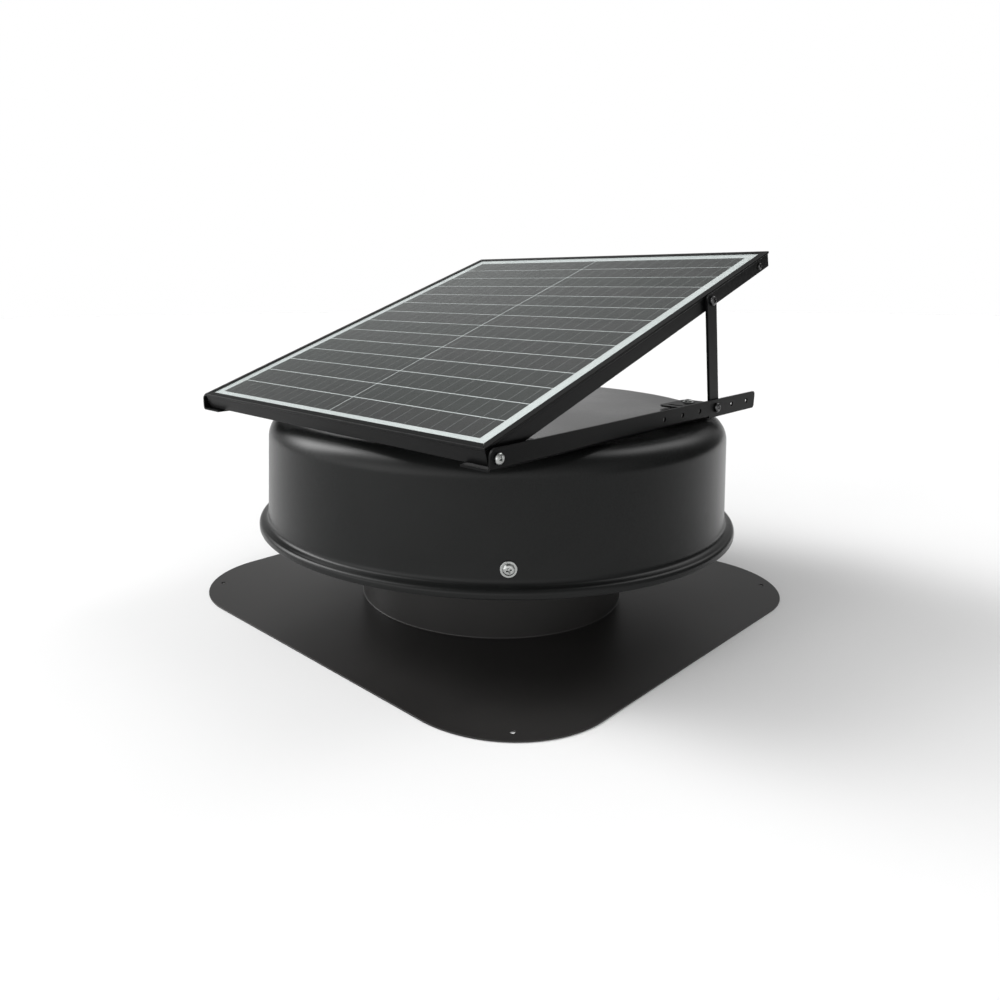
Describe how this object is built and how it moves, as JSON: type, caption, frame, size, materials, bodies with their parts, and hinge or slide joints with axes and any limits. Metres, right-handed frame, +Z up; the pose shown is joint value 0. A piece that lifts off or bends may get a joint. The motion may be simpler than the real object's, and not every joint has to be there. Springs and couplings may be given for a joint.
{
  "type": "solar attic fan",
  "caption": "Roof-mounted solar attic fan: round hood over a throat on a square flashing, with a framed solar panel that tilts on side brackets and flat struts.",
  "frame": {"origin": "middle of the flashing's underside, on the roof plane", "axes": "+Z up away from the roof, X along the panel's hinge line, +Y towards the panel's raised edge"},
  "size_m": [0.59, 0.59, 0.4232],
  "materials": {
    "black_powder_coat": "satin black powder coat on sheet steel, fine even texture",
    "black_frame": "black anodised and painted profile, satin",
    "motor_paint": "semi-gloss black paint",
    "zinc_fasteners": "bright zinc plating",
    "bright_steel": "ground steel",
    "screen_steel": "woven stainless wire",
    "bare_aluminium": "mill-finish aluminium, satin",
    "windings": "enamelled copper windings on laminated steel",
    "rubber": "matt EPDM rubber",
    "panel_glass": "low-iron tempered glass, faint texture",
    "solar_cells": "dark silicon cells with silver busbars on a white backsheet, under clear encapsulant",
    "black_plastic": "moulded black plastic, light grain"
  },
  "bodies": {
    "base": {"base_flashing": "black_powder_coat", "hood": "black_powder_coat", "hood_grommet": "rubber", "hood_arm_1": "black_powder_coat", "hood_screw_1": "zinc_fasteners", "throat_bolt_1": "zinc_fasteners", "throat_nut_1": "zinc_fasteners", "hood_arm_2": "black_powder_coat", "hood_screw_2": "zinc_fasteners", "throat_bolt_2": "zinc_fasteners", "throat_nut_2": "zinc_fasteners", "hood_arm_3": "black_powder_coat", "hood_screw_3": "zinc_fasteners", "throat_bolt_3": "zinc_fasteners", "throat_nut_3": "zinc_fasteners", "insect_screen": "screen_steel", "motor_mount": "black_powder_coat", "motor_housing": "motor_paint", "motor_end_cap": "bare_aluminium", "bearing_lower": "bright_steel", "bearing_upper": "bright_steel", "motor_stator": "windings", "tilt_bracket_right": "black_frame", "bracket_seal_front_right": "rubber", "bracket_screw_front_right": "zinc_fasteners", "bracket_seal_rear_right": "rubber", "bracket_screw_rear_right": "zinc_fasteners", "hinge_bolt_right": "zinc_fasteners", "hinge_spacer_right": "zinc_fasteners", "strut_lower_bolt_right": "zinc_fasteners", "tilt_bracket_left": "black_frame", "bracket_seal_front_left": "rubber", "bracket_screw_front_left": "zinc_fasteners", "bracket_seal_rear_left": "rubber", "bracket_screw_rear_left": "zinc_fasteners", "hinge_bolt_left": "zinc_fasteners", "hinge_spacer_left": "zinc_fasteners", "strut_lower_bolt_left": "zinc_fasteners"},
    "rotor": {"motor_shaft": "bright_steel", "motor_rotor": "bright_steel", "fan_hub": "bare_aluminium", "hub_set_screw": "zinc_fasteners", "fan_blade_wheel": "bare_aluminium"},
    "panel": {"frame_rail_front": "black_frame", "frame_rail_rear": "black_frame", "frame_rail_right": "black_frame", "hinge_nut_right": "zinc_fasteners", "strut_upper_bolt_right": "zinc_fasteners", "frame_screw_right": "zinc_fasteners", "frame_rail_left": "black_frame", "hinge_nut_left": "zinc_fasteners", "strut_upper_bolt_left": "zinc_fasteners", "frame_screw_left": "zinc_fasteners", "panel_glass": "panel_glass", "cell_laminate": "solar_cells", "junction_box": "black_plastic", "junction_box_lid": "black_plastic", "cable_gland": "black_plastic"},
    "strut_right": {"strut_right": "black_frame"},
    "strut_left": {"strut_left": "black_frame"}
  },
  "joints": [
    {"name": "rotor_spin", "type": "hinge", "parent": "base", "child": "rotor", "pos_m": [0, 0, 0.074], "axis": [0, 0, 1], "continuous": true},
    {"name": "panel_tilt", "type": "hinge", "parent": "base", "child": "panel", "pos_m": [0, -0.2587, 0.2492], "axis": [1, 0, 0], "range_deg": [-16, 0.9]},
    {"name": "strut_right_swing", "type": "hinge", "parent": "panel", "child": "strut_right", "pos_m": [0.2322, 0.09183, 0.36829], "axis": [1, 0, 0], "range_deg": [-5.2, 87]},
    {"name": "strut_left_swing", "type": "hinge", "parent": "panel", "child": "strut_left", "pos_m": [-0.2322, 0.09183, 0.36829], "axis": [1, 0, 0], "range_deg": [-5.2, 87]}
  ],
  "couplings": [
    {"joint": "strut_right_swing", "follows": "panel_tilt", "ratio": -5.4},
    {"joint": "strut_left_swing", "follows": "panel_tilt", "ratio": -5.4}
  ]
}
